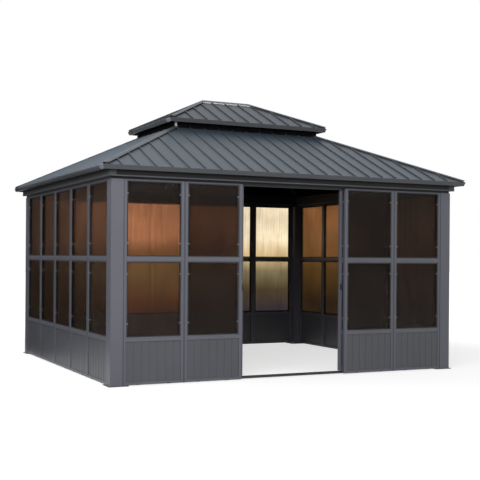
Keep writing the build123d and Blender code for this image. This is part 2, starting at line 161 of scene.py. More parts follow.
def add_round(mesh, foot, axis, radius, height, sides, top_radius=None):
    """Adds a round or many-sided head that stands on a point and rises along an axis."""
    turn = Vector((0, 0, 1)).rotation_difference(Vector(axis)).to_matrix().to_4x4()
    middle = Vector(foot) + Vector(axis).normalized() * (height / 2)
    bmesh.ops.create_cone(
        mesh,
        cap_ends=True,
        segments=sides,
        radius1=radius,
        radius2=radius if top_radius is None else top_radius,
        depth=height,
        matrix=Matrix.Translation(middle) @ turn,
    )


def new_piece(name, mesh, material, body):
    """Turns a finished mesh into a piece that rides on one body of the frame."""
    data = bpy.data.meshes.new(name)
    mesh.to_mesh(data)
    mesh.free()
    data.materials.append(material)
    piece = bpy.data.objects.new(name, data)
    bpy.context.scene.collection.objects.link(piece)
    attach(piece, body)
    return piece


frame_coat = coated_metal("frame_coat", FRAME_BLUE_GREY, SATIN)
bolt_steel = coated_metal("bolt_steel", BOLT_STEEL, 0.35, metallic=0.9)
post_names = ("post_front_left", "post_front_right", "post_back_left", "post_back_right")
for post_name in post_names:
    finish_node(post_name, frame_coat, rounding=POST_ROUNDING)
finish_node("foot_plates", frame_coat)

anchors = bmesh.new()
for post_name in post_names:
    low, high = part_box(post_name)
    inner_x = min((low.x, high.x), key=abs)
    inner_y = min((low.y, high.y), key=abs)
    foot = Vector((
        inner_x - math.copysign(ANCHOR_INSET, inner_x),
        inner_y - math.copysign(ANCHOR_INSET, inner_y),
        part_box("foot_plates")[1].z,
    ))
    add_round(anchors, foot, (0, 0, 1), WASHER_RADIUS, WASHER_THICKNESS, 24)
    add_round(anchors, foot, (0, 0, 1), ANCHOR_RADIUS, WASHER_THICKNESS + ANCHOR_HEAD, 6)
new_piece("anchor_bolts", anchors, bolt_steel, "gazebo")


# Header beams: hollow aluminium boxes mitred over the posts, with a drip lip along the foot that
# is spliced in the middle of each wall. The beams share one coat: the front and back ones are
# painted near black as painted shade under the eave, the side ones paler as painted light. Bent
# grey covers wrap the four corners, and four screws hold each of their flanges.
# Painted shade: the near black of the front and back beams. Painted light: the grey of the side
# beams.
HEADER_PAINTED_SHADE_BLACK = (0.015, 0.0155, 0.018, 1)
SIDE_HEADER_PAINTED_LIGHT_GREY = (0.095, 0.097, 0.108, 1)
LIP_GREY = (0.085, 0.088, 0.095, 1)
COVER_GREY = (0.062, 0.067, 0.072, 1)
SCREW_STEEL = (0.10, 0.105, 0.115, 1)
SHEET_ROUNDING = 0.0008
LIP_REACH = 0.0036
LIP_SPLICE_LENGTH = 0.050
LIP_SPLICE_HEIGHT = 0.012
SPLICE_THICKNESS = 0.0012
SCREW_RADIUS = 0.0045
SCREW_HEAD = 0.0022
SCREW_DOME = 0.55
COVER_SCREW_INSETS = (0.020, 0.055)
COVER_SCREW_HEIGHTS = (0.018, 0.084)
WALL_FACES = {"front": (1, -1), "right": (0, 1), "back": (1, 1), "left": (0, -1)}


def paint_faces(node, material, chosen):
    """Gives a second finish to those faces of a CAD node that a test on middle and normal picks."""
    node.data.materials.append(material)
    for face in node.data.polygons:
        if chosen(face.center, face.normal):
            face.material_index = len(node.data.materials) - 1


def add_screw(mesh, foot, axis):
    """Adds a small domed screw head."""
    add_round(mesh, foot, axis, SCREW_RADIUS, SCREW_HEAD, 12, top_radius=SCREW_RADIUS * SCREW_DOME)


# The side beams take the painted light, and the front and back beams take the painted shade.
header_coats = (
    coated_metal("side_header_coat", SIDE_HEADER_PAINTED_LIGHT_GREY, 0.5, gloss=0.25),
    coated_metal("header_coat", HEADER_PAINTED_SHADE_BLACK, 0.5, gloss=0.25),
)
lip_coat = coated_metal("lip_coat", LIP_GREY, SATIN)
cover_coat = coated_metal("cover_coat", COVER_GREY, SATIN)
screw_steel = coated_metal("screw_steel", SCREW_STEEL, 0.35, metallic=0.6)
for side, (axis, sign) in WALL_FACES.items():
    header = finish_node(f"header_{side}", header_coats[axis])
    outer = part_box(f"header_{side}")[0 if sign < 0 else 1][axis]
    paint_faces(header, lip_coat, lambda middle, normal: abs(middle[axis] - outer) < LIP_REACH)
finish_node("header_corner_covers", cover_coat, rounding=SHEET_ROUNDING)

cover_screws = bmesh.new()
cover_low, cover_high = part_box("header_corner_covers")
for x_sign in (-1, 1):
    for y_sign in (-1, 1):
        for inset in COVER_SCREW_INSETS:
            for rise in COVER_SCREW_HEIGHTS:
                z = cover_low.z + rise
                side_x = x_sign * cover_high.x
                side_y = y_sign * cover_high.y
                add_screw(cover_screws, (side_x - x_sign * inset, side_y, z), (0, y_sign, 0))
                add_screw(cover_screws, (side_x, side_y - y_sign * inset, z), (x_sign, 0, 0))
new_piece("header_cover_screws", cover_screws, screw_steel, "gazebo")

splices = bmesh.new()
for side, (axis, sign) in WALL_FACES.items():
    low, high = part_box(f"header_{side}")
    outer = (low if sign < 0 else high)[axis]
    lip_bottom = high.z - (cover_high.z - cover_low.z) - LIP_SPLICE_HEIGHT
    reach = LIP_SPLICE_LENGTH / 2
    plate_low = Vector((-reach, -reach, lip_bottom))
    plate_high = Vector((reach, reach, lip_bottom + LIP_SPLICE_HEIGHT))
    plate_low[axis], plate_high[axis] = sorted((outer, outer + sign * SPLICE_THICKNESS))
    add_block(splices, plate_low, plate_high)
new_piece("header_lip_splices", splices, screw_steel, "gazebo")


# Wall panels: bolted aluminium frames of stiles, rails and sashes between the posts, in the
# same coat as the posts, with ribbed aluminium kick panels. Darker strips close the joints
# between the frames, and their darker coat is painted shade for the recess of each joint. Two
# black strips on the foot of each frame stand for drain slots, painted black as the shade inside.
KICK_BLUE_GREY = (0.099, 0.103, 0.118, 1)
# The joint strips' darker colour is painted shade for the recessed joints.
JOINT_PAINTED_SHADE_BLUE_GREY = (0.070, 0.075, 0.092, 1)
# The drain slots' black is painted shade for the dark inside of each slot.
SLOT_PAINTED_SHADE_BLACK = (0.008, 0.008, 0.009, 1)
JOINT_STRIP_WIDTH = 0.020
POST_STRIP_WIDTH = 0.009
STRIP_RELIEF = 0.0012
JOINT_REACH = 0.008
DRAIN_SHARES = (0.22, 0.77)
DRAIN_LENGTH = 0.034
DRAIN_HEIGHT = 0.009
STILE_HEIGHT = 1.9
RAIL_HEIGHT = 0.03


def solid_boxes(name):
    """The corners of every solid in a CAD node, as pairs of lowest and highest points."""
    mesh = bmesh.new()
    mesh.from_mesh(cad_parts[name].data)
    bmesh.ops.remove_doubles(mesh, verts=mesh.verts, dist=WELD_REACH)
    waiting = set(mesh.verts)
    boxes = []
    while waiting:
        edge = [waiting.pop()]
        solid = list(edge)
        while edge:
            for link in edge.pop().link_edges:
                for vert in link.verts:
                    if vert in waiting:
                        waiting.remove(vert)
                        edge.append(vert)
                        solid.append(vert)
        corners = [vert.co for vert in solid]
        low = Vector([min(c[i] for c in corners) for i in range(3)])
        high = Vector([max(c[i] for c in corners) for i in range(3)])
        boxes.append((low, high))
    mesh.free()
    return sorted(boxes, key=lambda box: tuple(box[0]))


def add_face_strip(mesh, axis, sign, face, along_low, along_high, z_low, z_high):
    """Adds a thin flat strip on an outer wall face, between two places along the wall."""
    low = Vector((along_low, along_low, z_low))
    high = Vector((along_high, along_high, z_high))
    low[axis], high[axis] = sorted((face, face + sign * STRIP_RELIEF))
    add_block(mesh, low, high)


kick_coat = coated_metal("kick_coat", KICK_BLUE_GREY, 0.45)
# Painted shade along the recessed joints.
joint_painted_shade_coat = coated_metal("joint_painted_shade_coat", JOINT_PAINTED_SHADE_BLUE_GREY, SATIN)
# Painted shade standing for the inside of the drain slots.
slot_painted_shade_black = coated_metal("slot_painted_shade_black", SLOT_PAINTED_SHADE_BLACK, 0.6)
joint_strips = bmesh.new()
drain_slots = bmesh.new()
for side, (axis, sign) in WALL_FACES.items():
    finish_node(f"{side}_panel_frames", frame_coat)
    finish_node(f"{side}_kick_panels", kick_coat, rounding=SHEET_ROUNDING)
    along = 1 - axis
    bars = solid_boxes(f"{side}_panel_frames")
    tall_bars = [bar for bar in bars if bar[1].z - bar[0].z > STILE_HEIGHT]
    stiles = sorted(tall_bars, key=lambda bar: bar[0][along])
    face = max((bar[1 if sign > 0 else 0][axis] for bar in stiles), key=abs)
    foot, top = stiles[0][0].z, stiles[0][1].z
    for left, right in zip(stiles, stiles[1:]):
        if right[0][along] - left[1][along] < JOINT_REACH:
            middle = (left[1][along] + right[0][along]) / 2
            edge = JOINT_STRIP_WIDTH / 2
            add_face_strip(joint_strips, axis, sign, face, middle - edge, middle + edge, foot, top)
    first, last = stiles[0][0][along], stiles[-1][1][along]
    add_face_strip(joint_strips, axis, sign, face, first, first + POST_STRIP_WIDTH, foot, top)
    add_face_strip(joint_strips, axis, sign, face, last - POST_STRIP_WIDTH, last, foot, top)
    for low, high in bars:
        if high.z < foot + RAIL_HEIGHT:
            for share in DRAIN_SHARES:
                start = low[along] + share * (high[along] - low[along]) - DRAIN_LENGTH / 2
                end = start + DRAIN_LENGTH
                add_face_strip(drain_slots, axis, sign, face, start, end, foot, foot + DRAIN_HEIGHT)
new_piece("panel_joint_strips", joint_strips, joint_painted_shade_coat, "gazebo")
new_piece("drain_slots", drain_slots, slot_painted_shade_black, "gazebo")


# Panes: brown tinted sheets with upright flutes, which smear what lies behind them sideways.
# Each sheet sits behind its sash, in a black gasket, and small pale clips hold its sides.
TINT_BROWN = (0.45, 0.31, 0.22, 1)
FLUTE_PITCH = 0.011
FLUTE_DEPTH = 0.0014
FLUTE_STEPS = 6
FLUTE_UNEVENNESS = 0.15
UNEVEN_LENGTH = 0.083
UNEVEN_SHIFT = 9
CUSP_ANGLE = 0.4
CLEAR_SHARE = 0.985
PANE_ROUGHNESS = 0.06
PANE_BENDING = 1.18
CLOUD_SCALE = 2.6
CLOUD_SPREAD = 0.2
STREAK_SCALE = 80
STREAK_SPREAD = 0.18
STREAK_STRETCH = 32
GASKET_BLACK = (0.010, 0.010, 0.011, 1)
CLIP_PALE = (0.34, 0.33, 0.31, 1)
SASH_WIDTH = 0.016
GASKET_WIDTH = 0.010
GASKET_RELIEF = 0.001
CLIP_SIZE = (0.014, 0.009)
CLIP_RELIEF = 0.003
FIXED_SASH_DEPTH = 0.014
LEAF_SASH_DEPTH = 0.010
CLIP_SHARES = (0.17, 0.83)


def add_fluted_pane(mesh, low, high):
    """Adds one pane as thick as the CAD pane: round flutes on one face, the other face flat."""
    along = 0 if high.x - low.x > high.y - low.y else 1
    across = 1 - along
    length = high[along] - low[along]
    steps = round(length / FLUTE_PITCH) * FLUTE_STEPS
    faces = []
    for face in (0, 1):
        rows = []
        for i in range(steps + 1):
            s = length * i / steps
            turn = 2 * math.pi * s / UNEVEN_LENGTH + UNEVEN_SHIFT * low[along]
            depth = FLUTE_DEPTH * (1 - FLUTE_UNEVENNESS + FLUTE_UNEVENNESS * math.sin(turn))
            off_crown = 2 * (i % FLUTE_STEPS) / FLUTE_STEPS - 1
            point = Vector((0, 0, 0))
            point[along] = low[along] + s
            point[across] = low[across] + depth * off_crown**2 if face == 0 else high[across]
            ends = []
            for z in (low.z, high.z):
                point.z = z
                ends.append(mesh.verts.new(point))
            rows.append(ends)
        faces.append(rows)
    front, back = faces
    for i in range(steps):
        for rows in faces:
            sheet = mesh.faces.new((rows[i][0], rows[i + 1][0], rows[i + 1][1], rows[i][1]))
            sheet.smooth = True
        for end in (0, 1):
            mesh.faces.new((front[i][end], front[i + 1][end], back[i + 1][end], back[i][end]))
    for i in (0, steps):
        mesh.faces.new((front[i][0], front[i][1], back[i][1], back[i][0]))


def tinted_sheet(name, tint):
    """Clear brown plastic: tinted in the mass, with a soft haze."""
    material = bpy.data.materials.new(name)
    material.use_nodes = True
    tree = material.node_tree
    shader = tree.nodes["Principled BSDF"]
    shader.inputs["Transmission Weight"].default_value = CLEAR_SHARE
    shader.inputs["Roughness"].default_value = PANE_ROUGHNESS
    shader.inputs["IOR"].default_value = PANE_BENDING
    link_tone(
        tree,
        tint,
        shader.inputs["Base Color"],
        CLOUD_SCALE,
        CLOUD_SPREAD,
        STREAK_SCALE,
        STREAK_SPREAD,
        speck_length=STREAK_STRETCH,
    )
    return material


tinted_glazing = tinted_sheet("tinted_glazing", TINT_BROWN)
gasket_black = coated_metal("gasket_black", GASKET_BLACK, 0.7)
clip_pale = coated_metal("clip_pale", CLIP_PALE, 0.5)


def add_on_pane(mesh, axis, sign, face, thickness, start, end):
    """Adds a flat block on a pane's outer face, between two points given along and up."""
    low = Vector((start[0], start[0], start[1]))
    high = Vector((end[0], end[0], end[1]))
    low[axis], high[axis] = sorted((face, face + sign * thickness))
    add_block(mesh, low, high)


def hold_panes(node_name, body, axis, sign, sash_depth):
    """Lays a black gasket along the inner edge of each sash, and clips over its sides."""
    gaskets = bmesh.new()
    clips = bmesh.new()
    along = 1 - axis
    for low, high in solid_boxes(node_name):
        face = (low if sign < 0 else high)[axis]
        inner_left, inner_right = low[along] + SASH_WIDTH, high[along] - SASH_WIDTH
        inner_bottom, inner_top = low.z + SASH_WIDTH, high.z - SASH_WIDTH
        left, right = inner_left - GASKET_WIDTH, inner_right + GASKET_WIDTH
        bottom, top = inner_bottom - GASKET_WIDTH, inner_top + GASKET_WIDTH
        for start, end in (
            ((left, bottom), (inner_left, top)),
            ((inner_right, bottom), (right, top)),
            ((inner_left, bottom), (inner_right, inner_bottom)),
            ((inner_left, inner_top), (inner_right, top)),
        ):
            add_on_pane(gaskets, axis, sign, face, sash_depth + GASKET_RELIEF, start, end)
        for share in CLIP_SHARES:
            z = bottom + share * (top - bottom)
            for start in (left, right - CLIP_SIZE[0]):
                end = (start + CLIP_SIZE[0], z + CLIP_SIZE[1])
                add_on_pane(clips, axis, sign, face, sash_depth + CLIP_RELIEF, (start, z), end)
    new_piece(f"{node_name}_gaskets", gaskets, gasket_black, body)
    new_piece(f"{node_name}_clips", clips, clip_pale, body)


def glaze(node_name, body, material):
    """Puts fluted sheets in the place of a node's plain panes."""
    panes = bmesh.new()
    for low, high in solid_boxes(node_name):
        add_fluted_pane(panes, low, high)
    bmesh.ops.recalc_face_normals(panes, faces=panes.faces)
    for edge in panes.edges:
        edge.smooth = edge.calc_face_angle() < CUSP_ANGLE
    sheets = new_piece(f"{node_name}_sheets", panes, material, body)
    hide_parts(node_name)


for side, (axis, sign) in WALL_FACES.items():
    glaze(f"{side}_glazing", "gazebo", tinted_glazing)
    hold_panes(f"{side}_glazing", "gazebo", axis, sign, FIXED_SASH_DEPTH)


# Sliding door: two leaves behind the fixed front panels, hung in a coated channel and running
# on nylon glides over a dark bottom track. Each leaf has darker panes than the walls and a
# small black pull handle.
TRACK_DARK = (0.020, 0.020, 0.022, 1)
HANDLE_BLACK = (0.012, 0.012, 0.013, 1)
NYLON_GREY = (0.55, 0.55, 0.53, 1)
DOOR_TINT_BROWN = (0.110, 0.077, 0.061, 1)
door_glazing = tinted_sheet("door_glazing", DOOR_TINT_BROWN)
track_coat = coated_metal("track_coat", TRACK_DARK, 0.4)
handle_plastic = coated_metal("handle_plastic", HANDLE_BLACK, 0.38)
glide_nylon = coated_metal("glide_nylon", NYLON_GREY, 0.55)
finish_node("front_top_track", track_coat)
finish_node("front_bottom_track", track_coat)
for leaf in ("left_leaf", "right_leaf"):
    finish_node(f"{leaf}_frame", frame_coat)
    finish_node(f"{leaf}_kick_panel", kick_coat, rounding=SHEET_ROUNDING)
    finish_node(f"{leaf}_glides", glide_nylon)
    finish_node(f"{leaf}_handle", handle_plastic)
    glaze(f"{leaf}_glazing", leaf, door_glazing)
    hold_panes(f"{leaf}_glazing", leaf, *WALL_FACES["front"], LEAF_SASH_DEPTH)


# Roof frame: coated rafters from the headers to the curb of the vent, short posts on the curb,
# and the ring, hip rafters and ridge beam that carry the small upper roof. Black insect screen
# is stretched round the vent, and a bright strip clamps one end of it on each side.
RAFTER_CHARCOAL = (0.020, 0.0205, 0.022, 1)
SCREEN_BLACK = (0.006, 0.006, 0.007, 1)
BRIGHT_ZINC = (0.60, 0.61, 0.62, 1)
SCREEN_PITCH = 0.006
SCREEN_STRAND = 0.0026
CLAMP_WIDTH = 0.026
CLAMP_THICKNESS = 0.003
rafter_coat = coated_metal("rafter_coat", RAFTER_CHARCOAL, 0.6, gloss=0.1)
screen_black = coated_metal("screen_black", SCREEN_BLACK, 0.7, gloss=0.1)
bright_zinc = coated_metal("bright_zinc", BRIGHT_ZINC, 0.45, metallic=0.3)
for node_name in ("lower_rafters", "vent_curb", "vent_posts", "upper_roof_ring", "upper_rafters"):
    finish_node(node_name, rafter_coat)

vent_screen = bmesh.new()
clamps = bmesh.new()
curb_low, curb_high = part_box("vent_curb")
screen_foot = curb_high.z
screen_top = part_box("upper_roof_ring")[0].z
for side, (axis, sign) in WALL_FACES.items():
    along = 1 - axis
    face = (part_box("vent_posts")[0] if sign < 0 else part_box("vent_posts")[1])[axis]
    near, far = sorted((face, face + sign * SCREEN_STRAND))
    ends = curb_low[along], curb_high[along]
    uprights = round((ends[1] - ends[0]) / SCREEN_PITCH)
    for i in range(uprights):
        place = ends[0] + (i + 0.5) * (ends[1] - ends[0]) / uprights
        low = Vector((place - SCREEN_STRAND / 2, place - SCREEN_STRAND / 2, screen_foot))
        high = Vector((place + SCREEN_STRAND / 2, place + SCREEN_STRAND / 2, screen_top))
        low[axis], high[axis] = near, far
        add_block(vent_screen, low, high)
    levels = round((screen_top - screen_foot) / SCREEN_PITCH)
    for i in range(levels):
        z = screen_foot + (i + 0.5) * (screen_top - screen_foot) / levels
        low = Vector((ends[0], ends[0], z - SCREEN_STRAND / 2))
        high = Vector((ends[1], ends[1], z + SCREEN_STRAND / 2))
        low[axis], high[axis] = near, far
        add_block(vent_screen, low, high)
    turns_left = sign if axis == 1 else -sign
    start = ends[0] if turns_left < 0 else ends[1] - CLAMP_WIDTH
    low = Vector((start, start, screen_foot))
    high = Vector((start + CLAMP_WIDTH, start + CLAMP_WIDTH, screen_top))
    outer = face + sign * SCREEN_STRAND
    low[axis], high[axis] = sorted((outer, outer + sign * CLAMP_THICKNESS))
    add_block(clamps, low, high)
new_piece("vent_screen", vent_screen, screen_black, "gazebo")
new_piece("vent_screen_clamps", clamps, bright_zinc, "gazebo")


# Roof: galvanised steel sheets with standing seams, coated slate grey, in two hipped tiers;
# the upper tier is given a darker slate as painted shade. Bent caps are screwed over the hips
# and the ridge on closure strips, bright at the ridge; the hip closures are painted near black as
# the shade under the raised caps. Trims close the eaves, with a pale plate by each front corner.
# The undersides of the sheets and the inner faces of the trims are painted dark as shade, and the
# upright sides of the seams on the end slopes are painted paler as sheen.
ROOF_SLATE = (0.048, 0.067, 0.088, 1)
# The upper tier's darker slate is painted shade; both tiers wear one coat.
UPPER_ROOF_PAINTED_SHADE_SLATE = (0.030, 0.041, 0.056, 1)
# The paler seam colour is painted sheen for the end slopes seen at a grazing angle.
SEAM_PAINTED_SHEEN_SLATE = (0.175, 0.210, 0.250, 1)
# The dark underside colour is painted shade under the roof.
UNDERSIDE_PAINTED_SHADE = (0.022, 0.022, 0.023, 1)
CAP_GREY = (0.050, 0.062, 0.078, 1)
TRIM_GREY = (0.060, 0.064, 0.072, 1)
# The near black of the hip closures is painted shade under the raised caps.
CLOSURE_PAINTED_SHADE = (0.015, 0.016, 0.019, 1)
PLATE_PALE = (0.34, 0.35, 0.37, 1)
MILL_BRIGHT = (0.88, 0.88, 0.88, 1)
CAP_WIDTH = 0.052
CAP_THICKNESS = 0.003
CAP_SCREW_PITCH = 0.30
RIDGE_SCREWS = 4
PLATE_SCREW_DROP = 0.024
PLATE_SCREW_INSET = 0.050
TRIM_LEAN = 0.013
PLATE_ROUNDING = 0.0006
UNDER_LIMIT = -0.5
SEAM_LIMIT = 0.9
# The upper tier's coat carries the painted shade.
roof_coats = {
    "lower": coated_metal("roof_coat", ROOF_SLATE, 0.45),
    "upper": coated_metal("upper_roof_painted_shade_coat", UPPER_ROOF_PAINTED_SHADE_SLATE, 0.45),
}
underside_painted_shade_coat = coated_metal("underside_painted_shade_coat", UNDERSIDE_PAINTED_SHADE, 0.8, gloss=0.0)
cap_coat = coated_metal("cap_coat", CAP_GREY, SATIN)
trim_coat = coated_metal("trim_coat", TRIM_GREY, SATIN)
closure_painted_shade_coat = coated_metal("closure_painted_shade_coat", CLOSURE_PAINTED_SHADE, 0.6)
seam_painted_sheen_coat = coated_metal("seam_painted_sheen_coat", SEAM_PAINTED_SHEEN_SLATE, 0.45)
plate_coat = coated_metal("plate_coat", PLATE_PALE, 0.45)
mill_finish = coated_metal("mill_finish", MILL_BRIGHT, 0.4)
for tier in ("lower", "upper"):
    for side in WALL_FACES:
        coat = roof_coats[tier]
        sheet = finish_node(f"{tier}_roof_{side}", coat, rounding=SHEET_ROUNDING)
        # Downward faces of the sheets take the painted shade.
        paint_faces(sheet, underside_painted_shade_coat, lambda middle, normal: normal.z < UNDER_LIMIT)
        # On the end slopes the upright seam sides take the painted sheen.
        if tier == "lower" and side in ("left", "right"):
            paint_faces(sheet, seam_painted_sheen_coat, lambda middle, normal: abs(normal.y) > SEAM_LIMIT)
    finish_node(f"{tier}_hip_caps", cap_coat, rounding=SHEET_ROUNDING)
    trims = finish_node(f"{tier}_eave_trims", trim_coat, rounding=SHEET_ROUNDING)
    # The inner faces of the trims take the painted shade.
    paint_faces(trims, underside_painted_shade_coat, lambda middle, normal: normal.xy.dot(middle.xy) < 0)
finish_node("ridge_cap", cap_coat, rounding=SHEET_ROUNDING)
# The hip closures carry the painted shade under the caps.
finish_node("hip_closures", closure_painted_shade_coat, rounding=SHEET_ROUNDING)
finish_node("ridge_closures", mill_finish, rounding=SHEET_ROUNDING)
plates = finish_node("roof_corner_caps", plate_coat, rounding=PLATE_ROUNDING)
paint_faces(plates, trim_coat, lambda middle, normal: middle.y > 0)

roof_screws = bmesh.new()
for tier in ("lower", "upper"):
    for low, high in solid_boxes(f"{tier}_hip_caps"):
        x_sign = math.copysign(1, low.x + high.x)
        y_sign = math.copysign(1, low.y + high.y)
        run = high.x - low.x - CAP_WIDTH
        rise_share = (high.z - low.z - CAP_THICKNESS) / run
        corner_x = max(abs(low.x), abs(high.x))
        corner_y = max(abs(low.y), abs(high.y))
        corner_z = low.z + CAP_THICKNESS
        count = round(run * math.sqrt(2) / CAP_SCREW_PITCH)
        for i in range(count):
            inset = run * (i + 0.5) / count
            z = corner_z + rise_share * inset
            hip_x, hip_y = corner_x - inset, corner_y - inset
            across = CAP_WIDTH / 2
            front_foot = (x_sign * (hip_x - across), y_sign * hip_y, z)
            side_foot = (x_sign * hip_x, y_sign * (hip_y - across), z)
            add_screw(roof_screws, front_foot, (0, y_sign * rise_share, 1))
            add_screw(roof_screws, side_foot, (x_sign * rise_share, 0, 1))
ridge_low, ridge_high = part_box("ridge_cap")
ridge_run = ridge_high.x - ridge_low.x - 2 * CAP_WIDTH
for i in range(RIDGE_SCREWS):
    x = (i + 0.5) / RIDGE_SCREWS * ridge_run + ridge_low.x + CAP_WIDTH
    for y_sign in (-1, 1):
        foot = (x, y_sign * CAP_WIDTH / 2, ridge_high.z - rise_share * CAP_WIDTH / 2)
        add_screw(roof_screws, foot, (0, y_sign * rise_share, 1))
for low, high in solid_boxes("roof_corner_caps"):
    x_sign = math.copysign(1, low.x + high.x)
    y_sign = math.copysign(1, low.y + high.y)
    lean = TRIM_LEAN * PLATE_SCREW_DROP / (high.z - low.z)
    x = x_sign * (max(abs(low.x), abs(high.x)) - lean)
    y = y_sign * (max(abs(low.y), abs(high.y)) - PLATE_SCREW_INSET)
    add_screw(roof_screws, (x, y, high.z - PLATE_SCREW_DROP), (x_sign, 0, 0))
new_piece("roof_screws", roof_screws, screw_steel, "gazebo")


# Studio: a pale floor in a plain white surround, three soft lamps and the camera. Graded screens
# stand behind and beside the building for the panes alone to show, and two black flags, one
# upright and one on the floor, keep the left wall's gloss down.
FLOOR_HALF = 60
FLOOR_PALE = (0.62, 0.62, 0.62, 1)
FLOOR_BOUNCE = (0.08, 0.08, 0.08, 1)
FLOOR_GLOW = 0.66
FLOOR_FAR_GLOW = 1.0
FLOOR_GLOW_START = 3.2
FLOOR_GLOW_END = 7.0
SURROUND_LIGHT = 0.36


def seen_directly(tree):
    """One for the eye, for mirrors and for what a pane shows, and zero for scattered light."""
    path = tree.nodes.new("ShaderNodeLightPath")
    total = path.outputs["Is Camera Ray"]
    for ray in ("Is Glossy Ray", "Is Transmission Ray"):
        larger = tree.nodes.new("ShaderNodeMath")
        larger.operation = "MAXIMUM"
        tree.links.new(total, larger.inputs[0])
        tree.links.new(path.outputs[ray], larger.inputs[1])
        total = larger.outputs["Value"]
    unscattered = tree.nodes.new("ShaderNodeMath")
    unscattered.operation = "LESS_THAN"
    unscattered.inputs[1].default_value = 0.5
    tree.links.new(path.outputs["Diffuse Depth"], unscattered.inputs[0])
    seen = tree.nodes.new("ShaderNodeMath")
    seen.operation = "MULTIPLY"
    tree.links.new(total, seen.inputs[0])
    tree.links.new(unscattered.outputs["Value"], seen.inputs[1])
    return seen.outputs["Value"]


def stage_sheet(name, corners, material):
    """A flat sheet of the stage, which is no part of the building."""
    data = bpy.data.meshes.new(name)
    data.from_pydata(corners, [], [range(len(corners))])
    data.materials.append(material)
    sheet = bpy.data.objects.new(name, data)
    bpy.context.scene.collection.objects.link(sheet)
    return sheet


floor_paint = bpy.data.materials.new("floor_paint")
floor_paint.use_nodes = True
floor_tree = floor_paint.node_tree
floor_shader = floor_tree.nodes["Principled BSDF"]
floor_shader.inputs["Roughness"].default_value = 0.9
floor_shader.inputs["Specular IOR Level"].default_value = 0
floor_shader.inputs["Emission Color"].default_value = (1, 1, 1, 1)
floor_seen = seen_directly(floor_tree)
floor_place = floor_tree.nodes.new("ShaderNodeTexCoord")
floor_reach = floor_tree.nodes.new("ShaderNodeVectorMath")
floor_reach.operation = "LENGTH"
far_glow = floor_tree.nodes.new("ShaderNodeMapRange")
far_glow.interpolation_type = "SMOOTHSTEP"
far_glow.inputs["From Min"].default_value = FLOOR_GLOW_START
far_glow.inputs["From Max"].default_value = FLOOR_GLOW_END
far_glow.inputs["To Min"].default_value = FLOOR_GLOW
far_glow.inputs["To Max"].default_value = FLOOR_FAR_GLOW
glow = floor_tree.nodes.new("ShaderNodeMath")
glow.operation = "MULTIPLY"
floor_tree.links.new(floor_place.outputs["Object"], floor_reach.inputs[0])
floor_tree.links.new(floor_reach.outputs["Value"], far_glow.inputs["Value"])
floor_tree.links.new(far_glow.outputs["Result"], glow.inputs[0])
floor_tree.links.new(floor_seen, glow.inputs[1])
floor_tree.links.new(glow.outputs["Value"], floor_shader.inputs["Emission Strength"])
floor_tone = floor_tree.nodes.new("ShaderNodeMix")
floor_tone.data_type = "RGBA"
floor_tone.inputs["A"].default_value = FLOOR_BOUNCE
floor_tone.inputs["B"].default_value = FLOOR_PALE
floor_tree.links.new(floor_seen, floor_tone.inputs["Factor"])
floor_tree.links.new(floor_tone.outputs["Result"], floor_shader.inputs["Base Color"])
corners = ((-1, -1), (1, -1), (1, 1), (-1, 1))
stage_sheet("floor", [(x * FLOOR_HALF, y * FLOOR_HALF, 0) for x, y in corners], floor_paint)

world = bpy.data.worlds.new("studio")
bpy.context.scene.world = world
world.use_nodes = True
background = world.node_tree.nodes["Background"]
background.inputs["Color"].default_value = (1, 1, 1, 1)
strength = world.node_tree.nodes.new("ShaderNodeMapRange")
strength.inputs["To Min"].default_value = SURROUND_LIGHT
strength.inputs["To Max"].default_value = 1
world.node_tree.links.new(seen_directly(world.node_tree), strength.inputs["Value"])
world.node_tree.links.new(strength.outputs["Result"], background.inputs["Strength"])

SCREEN_FOOT = 0.01
SCREEN_TOP = 4.0
BACK_LINE = 1.86
SIDE_LINE = 2.4
LEFT_END = -3.4
LEFT_TO_MIDDLE = -1.08
MIDDLE_TO_DOORWAY = 1.05
DOORWAY_END = 2.06
NEAR_END = -4.0
NEAR_TO_RIGHT = 0.95
RIGHT_END = 4.5
DOORWAY_STEPS = (
    (0.50, (0.081, 0.095, 0.16, 1)),
    (0.78, (0.165, 0.16, 0.107, 1)),
    (1.05, (0.45, 0.53, 0.39, 1)),
    (1.30, (1.6, 1.65, 1.2, 1)),
    (1.50, (2, 2.4, 2.3, 1)),
)
MIDDLE_STEPS = (
    (0.40, (0.108, 0.049, 0.017, 1)),
    (0.62, (0.31, 0.175, 0.056, 1)),
    (1.04, (0.54, 0.59, 0.34, 1)),
    (1.30, (0.89, 0.7, 0.41, 1)),
    (1.50, (1.7, 1.37, 1.16, 1)),
)
LEFT_STEPS = (
    (0.60, (0.025, 0.021, 0.016, 1)),
    (1.00, (0.038, 0.031, 0.025, 1)),
    (1.25, (0.084, 0.066, 0.058, 1)),
    (1.60, (0.11, 0.09, 0.082, 1)),
)
RIGHT_STEPS = (
    (0.60, (0.062, 0.05, 0.033, 1)),
    (1.05, (0.167, 0.123, 0.041, 1)),
    (1.30, (0.31, 0.19, 0.078, 1)),
    (1.70, (0.445, 0.257, 0.115, 1)),
)
NEAR_STEPS = (
    (0.60, (0.02, 0.018, 0.016, 1)),
    (1.60, (0.06, 0.055, 0.045, 1)),
)


